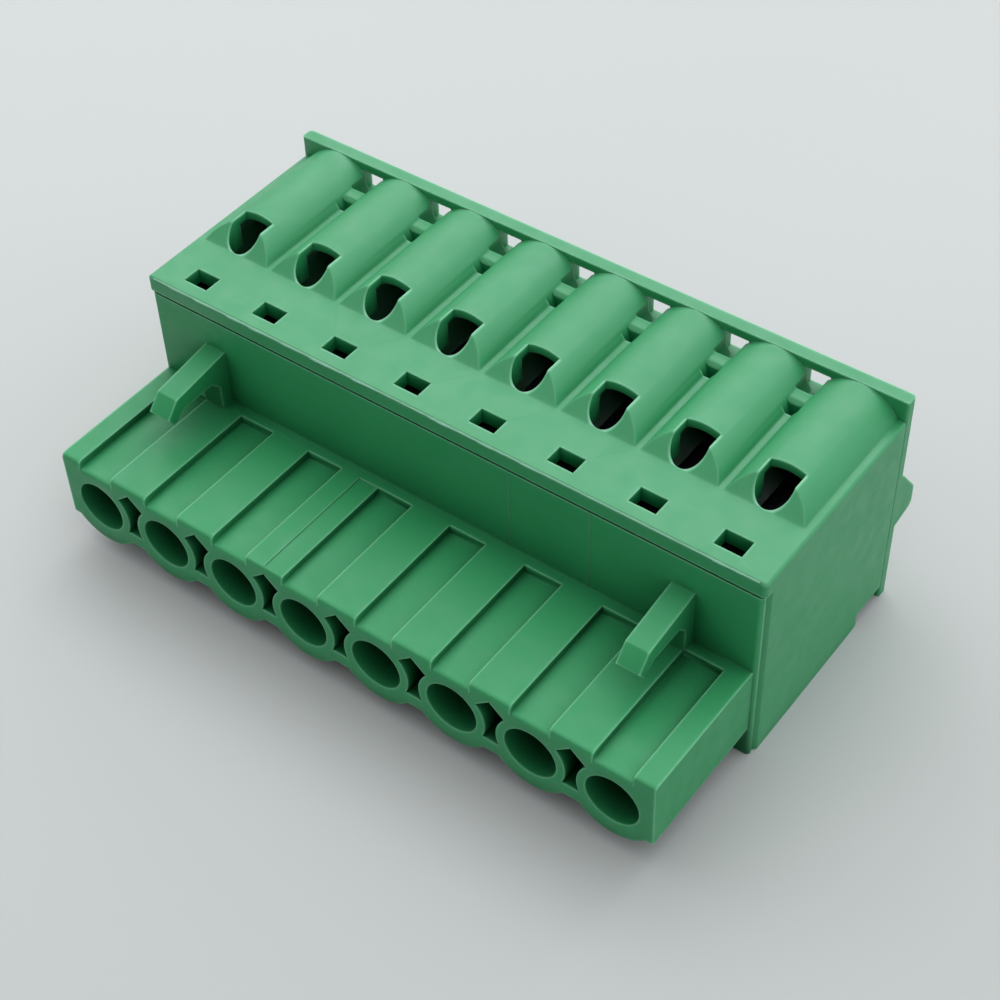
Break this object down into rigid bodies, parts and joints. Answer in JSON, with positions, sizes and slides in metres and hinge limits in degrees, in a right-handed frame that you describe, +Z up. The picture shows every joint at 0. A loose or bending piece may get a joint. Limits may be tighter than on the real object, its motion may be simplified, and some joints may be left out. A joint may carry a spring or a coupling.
{
  "type": "pluggable terminal block",
  "caption": "Green plug-in screw terminal block: a row of round sockets and two latch hooks in front, half-round screw wells on top, wire and driver openings behind.",
  "frame": {"origin": "middle of the bounding box's underside, which is the plane of the housing's underside", "axes": "+X along the row of ways, +Y towards the wiring face, -Y towards the mating face, +Z up"},
  "size_m": [0.0412, 0.0252, 0.0151],
  "materials": {
    "front_plastic": "moulded green polyamide, satin",
    "housing_plastic": "moulded green polyamide, satin",
    "cover_plastic": "moulded green polyamide, satin",
    "contact_metal": "tin-plated copper alloy, stamped",
    "lever_steel": "dark blackened steel",
    "nut_steel": "dark blackened steel",
    "screw_steel": "dark blackened steel"
  },
  "bodies": {
    "plug": {"front_body": "front_plastic", "housing": "housing_plastic", "rear_cover": "cover_plastic", "contact_1": "contact_metal", "contact_2": "contact_metal", "contact_3": "contact_metal", "contact_4": "contact_metal", "contact_5": "contact_metal", "contact_6": "contact_metal", "contact_7": "contact_metal", "contact_8": "contact_metal"},
    "screw_1": {"clamp_screw_1": "screw_steel"},
    "nut_1": {"clamp_nut_1": "nut_steel"},
    "lever_1": {"clamp_lever_1": "lever_steel"},
    "screw_2": {"clamp_screw_2": "screw_steel"},
    "nut_2": {"clamp_nut_2": "nut_steel"},
    "lever_2": {"clamp_lever_2": "lever_steel"},
    "screw_3": {"clamp_screw_3": "screw_steel"},
    "nut_3": {"clamp_nut_3": "nut_steel"},
    "lever_3": {"clamp_lever_3": "lever_steel"},
    "screw_4": {"clamp_screw_4": "screw_steel"},
    "nut_4": {"clamp_nut_4": "nut_steel"},
    "lever_4": {"clamp_lever_4": "lever_steel"},
    "screw_5": {"clamp_screw_5": "screw_steel"},
    "nut_5": {"clamp_nut_5": "nut_steel"},
    "lever_5": {"clamp_lever_5": "lever_steel"},
    "screw_6": {"clamp_screw_6": "screw_steel"},
    "nut_6": {"clamp_nut_6": "nut_steel"},
    "lever_6": {"clamp_lever_6": "lever_steel"},
    "screw_7": {"clamp_screw_7": "screw_steel"},
    "nut_7": {"clamp_nut_7": "nut_steel"},
    "lever_7": {"clamp_lever_7": "lever_steel"},
    "screw_8": {"clamp_screw_8": "screw_steel"},
    "nut_8": {"clamp_nut_8": "nut_steel"},
    "lever_8": {"clamp_lever_8": "lever_steel"}
  },
  "joints": [
    {"name": "screw_turn_1", "type": "hinge", "parent": "plug", "child": "screw_1", "pos_m": [-0.01778, 0.00905, 0.0112], "axis": [0, -1, 0], "range_deg": [0, 1752]},
    {"name": "nut_travel_1", "type": "slide", "parent": "plug", "child": "nut_1", "axis": [0, 1, 0], "range_m": [0, 0.00219]},
    {"name": "lever_swing_1", "type": "hinge", "parent": "plug", "child": "lever_1", "pos_m": [-0.01778, -0.00005, 0.0059], "axis": [-1, 0, 0], "range_deg": [0, 24]},
    {"name": "screw_turn_2", "type": "hinge", "parent": "plug", "child": "screw_2", "pos_m": [-0.0127, 0.00905, 0.0112], "axis": [0, -1, 0], "range_deg": [0, 1752]},
    {"name": "nut_travel_2", "type": "slide", "parent": "plug", "child": "nut_2", "axis": [0, 1, 0], "range_m": [0, 0.00219]},
    {"name": "lever_swing_2", "type": "hinge", "parent": "plug", "child": "lever_2", "pos_m": [-0.0127, -0.00005, 0.0059], "axis": [-1, 0, 0], "range_deg": [0, 24]},
    {"name": "screw_turn_3", "type": "hinge", "parent": "plug", "child": "screw_3", "pos_m": [-0.00762, 0.00905, 0.0112], "axis": [0, -1, 0], "range_deg": [0, 1752]},
    {"name": "nut_travel_3", "type": "slide", "parent": "plug", "child": "nut_3", "axis": [0, 1, 0], "range_m": [0, 0.00219]},
    {"name": "lever_swing_3", "type": "hinge", "parent": "plug", "child": "lever_3", "pos_m": [-0.00762, -0.00005, 0.0059], "axis": [-1, 0, 0], "range_deg": [0, 24]},
    {"name": "screw_turn_4", "type": "hinge", "parent": "plug", "child": "screw_4", "pos_m": [-0.00254, 0.00905, 0.0112], "axis": [0, -1, 0], "range_deg": [0, 1752]},
    {"name": "nut_travel_4", "type": "slide", "parent": "plug", "child": "nut_4", "axis": [0, 1, 0], "range_m": [0, 0.00219]},
    {"name": "lever_swing_4", "type": "hinge", "parent": "plug", "child": "lever_4", "pos_m": [-0.00254, -0.00005, 0.0059], "axis": [-1, 0, 0], "range_deg": [0, 24]},
    {"name": "screw_turn_5", "type": "hinge", "parent": "plug", "child": "screw_5", "pos_m": [0.00254, 0.00905, 0.0112], "axis": [0, -1, 0], "range_deg": [0, 1752]},
    {"name": "nut_travel_5", "type": "slide", "parent": "plug", "child": "nut_5", "axis": [0, 1, 0], "range_m": [0, 0.00219]},
    {"name": "lever_swing_5", "type": "hinge", "parent": "plug", "child": "lever_5", "pos_m": [0.00254, -0.00005, 0.0059], "axis": [-1, 0, 0], "range_deg": [0, 24]},
    {"name": "screw_turn_6", "type": "hinge", "parent": "plug", "child": "screw_6", "pos_m": [0.00762, 0.00905, 0.0112], "axis": [0, -1, 0], "range_deg": [0, 1752]},
    {"name": "nut_travel_6", "type": "slide", "parent": "plug", "child": "nut_6", "axis": [0, 1, 0], "range_m": [0, 0.00219]},
    {"name": "lever_swing_6", "type": "hinge", "parent": "plug", "child": "lever_6", "pos_m": [0.00762, -0.00005, 0.0059], "axis": [-1, 0, 0], "range_deg": [0, 24]},
    {"name": "screw_turn_7", "type": "hinge", "parent": "plug", "child": "screw_7", "pos_m": [0.0127, 0.00905, 0.0112], "axis": [0, -1, 0], "range_deg": [0, 1752]},
    {"name": "nut_travel_7", "type": "slide", "parent": "plug", "child": "nut_7", "axis": [0, 1, 0], "range_m": [0, 0.00219]},
    {"name": "lever_swing_7", "type": "hinge", "parent": "plug", "child": "lever_7", "pos_m": [0.0127, -0.00005, 0.0059], "axis": [-1, 0, 0], "range_deg": [0, 24]},
    {"name": "screw_turn_8", "type": "hinge", "parent": "plug", "child": "screw_8", "pos_m": [0.01778, 0.00905, 0.0112], "axis": [0, -1, 0], "range_deg": [0, 1752]},
    {"name": "nut_travel_8", "type": "slide", "parent": "plug", "child": "nut_8", "axis": [0, 1, 0], "range_m": [0, 0.00219]},
    {"name": "lever_swing_8", "type": "hinge", "parent": "plug", "child": "lever_8", "pos_m": [0.01778, -0.00005, 0.0059], "axis": [-1, 0, 0], "range_deg": [0, 24]}
  ],
  "couplings": [
    {"joint": "screw_turn_1", "follows": "nut_travel_1", "rad_per_m": 13963},
    {"joint": "lever_swing_1", "follows": "nut_travel_1", "rad_per_m": 191.26},
    {"joint": "screw_turn_2", "follows": "nut_travel_2", "rad_per_m": 13963},
    {"joint": "lever_swing_2", "follows": "nut_travel_2", "rad_per_m": 191.26},
    {"joint": "screw_turn_3", "follows": "nut_travel_3", "rad_per_m": 13963},
    {"joint": "lever_swing_3", "follows": "nut_travel_3", "rad_per_m": 191.26},
    {"joint": "screw_turn_4", "follows": "nut_travel_4", "rad_per_m": 13963},
    {"joint": "lever_swing_4", "follows": "nut_travel_4", "rad_per_m": 191.26},
    {"joint": "screw_turn_5", "follows": "nut_travel_5", "rad_per_m": 13963},
    {"joint": "lever_swing_5", "follows": "nut_travel_5", "rad_per_m": 191.26},
    {"joint": "screw_turn_6", "follows": "nut_travel_6", "rad_per_m": 13963},
    {"joint": "lever_swing_6", "follows": "nut_travel_6", "rad_per_m": 191.26},
    {"joint": "screw_turn_7", "follows": "nut_travel_7", "rad_per_m": 13963},
    {"joint": "lever_swing_7", "follows": "nut_travel_7", "rad_per_m": 191.26},
    {"joint": "screw_turn_8", "follows": "nut_travel_8", "rad_per_m": 13963},
    {"joint": "lever_swing_8", "follows": "nut_travel_8", "rad_per_m": 191.26}
  ]
}
